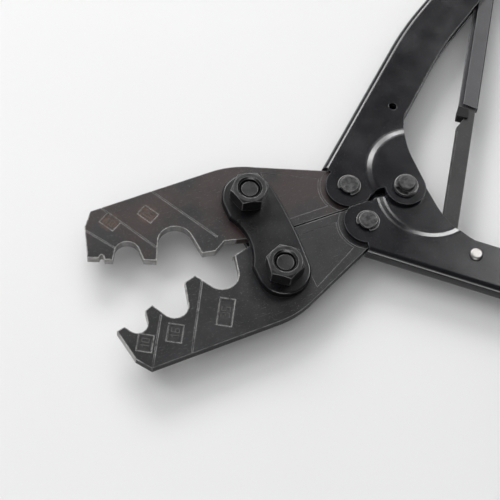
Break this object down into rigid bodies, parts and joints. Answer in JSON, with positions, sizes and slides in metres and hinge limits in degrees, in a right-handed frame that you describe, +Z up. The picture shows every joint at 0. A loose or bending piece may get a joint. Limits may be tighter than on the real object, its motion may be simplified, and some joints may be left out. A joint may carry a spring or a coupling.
{
  "type": "crimping tool",
  "caption": "Heavy hand crimping tool: nested swinging jaws between bolted link plates, lapped channel handles and a ratchet stay.",
  "frame": {"origin": "on the upper jaw pivot's axis, at the bolt head's resting face", "axes": "+X along the midline from the jaw pivots to the handles, +Y to the upper jaw's side, +Z up through the plates to the nut side"},
  "size_m": [0.373, 0.3782, 0.0272],
  "materials": {
    "link_black": "satin black",
    "fastener_black": "black oxide, worn",
    "bush_steel": "ground",
    "jaw_steel": "black oxide with bare steel nests",
    "handle_paint": "semi-gloss black",
    "pin_steel": "black oxide",
    "rivet_bright": "bright nickel",
    "bar_steel": "darkened steel",
    "sleeve_black": "satin black",
    "pawl_steel": "black oxide",
    "spring_steel": "drawn wire",
    "grip_vinyl": "textured black vinyl"
  },
  "bodies": {
    "link": {"link_plate_front": "link_black", "link_plate_back": "link_black", "upper_jaw_nut": "fastener_black", "lower_jaw_nut": "fastener_black", "upper_jaw_bolt": "fastener_black", "lower_jaw_bolt": "fastener_black", "upper_jaw_bush": "bush_steel", "lower_jaw_bush": "bush_steel"},
    "upper_jaw_body": {"upper_jaw": "jaw_steel"},
    "lower_jaw_body": {"lower_jaw": "jaw_steel"},
    "upper_handle_body": {"upper_handle": "handle_paint", "upper_grip": "grip_vinyl", "upper_arm_pin": "pin_steel", "upper_arm_clip": "pin_steel", "handle_pivot_pin": "pin_steel", "pivot_clip": "pin_steel", "pivot_washer_front": "pin_steel", "pivot_washer_back": "pin_steel", "pivot_spacer": "bush_steel", "sleeve_pin": "pin_steel"},
    "lower_handle_body": {"lower_handle": "handle_paint", "lower_grip": "grip_vinyl", "lower_arm_pin": "pin_steel", "lower_arm_clip": "pin_steel", "stay_rivet": "rivet_bright"},
    "sleeve_body": {"ratchet_sleeve": "sleeve_black", "pawl_pin": "pin_steel", "pawl_spring": "spring_steel"},
    "pawl_body": {"pawl": "pawl_steel"},
    "bar_body": {"ratchet_bar": "bar_steel"}
  },
  "joints": [
    {"name": "upper_jaw_swing", "type": "hinge", "parent": "link", "child": "upper_jaw_body", "pos_m": [0, 0, 0.0127], "axis": [0, 0, 1], "range_deg": [0, 13.8]},
    {"name": "lower_jaw_swing", "type": "hinge", "parent": "link", "child": "lower_jaw_body", "pos_m": [0, -0.042, 0.0127], "axis": [0, 0, -1], "range_deg": [0, 13.8]},
    {"name": "upper_handle_swing", "type": "hinge", "parent": "upper_jaw_body", "child": "upper_handle_body", "pos_m": [0.0488, -0.0104, 0.0127], "axis": [0, 0, -1], "range_deg": [0, 44.43]},
    {"name": "lower_handle_swing", "type": "hinge", "parent": "lower_jaw_body", "child": "lower_handle_body", "pos_m": [0.0488, -0.0316, 0.0127], "axis": [0, 0, 1], "range_deg": [0, 44.43]},
    {"name": "sleeve_swing", "type": "hinge", "parent": "upper_handle_body", "child": "sleeve_body", "pos_m": [0.17997, 0.08839, 0.0127], "axis": [0, 0, 1], "range_deg": [0, 3.99]},
    {"name": "bar_slide", "type": "slide", "parent": "sleeve_body", "child": "bar_body", "axis": [0.5707, 0.8211, 0], "range_m": [0, 0.047]},
    {"name": "pawl_lift", "type": "hinge", "parent": "sleeve_body", "child": "pawl_body", "pos_m": [0.13115, 0.0183, 0.0127], "axis": [0, 0, -1], "range_deg": [0, 8], "stiffness_Nm_per_rad": 0.01}
  ],
  "couplings": [
    {"joint": "lower_jaw_swing", "follows": "upper_jaw_swing", "ratio": 1},
    {"joint": "upper_handle_swing", "follows": "upper_jaw_swing", "ratio": 3.219},
    {"joint": "lower_handle_swing", "follows": "upper_jaw_swing", "ratio": 3.219},
    {"joint": "sleeve_swing", "follows": "upper_jaw_swing", "ratio": 0.2881},
    {"joint": "bar_slide", "follows": "upper_jaw_swing", "m_per_rad": 0.19471}
  ]
}
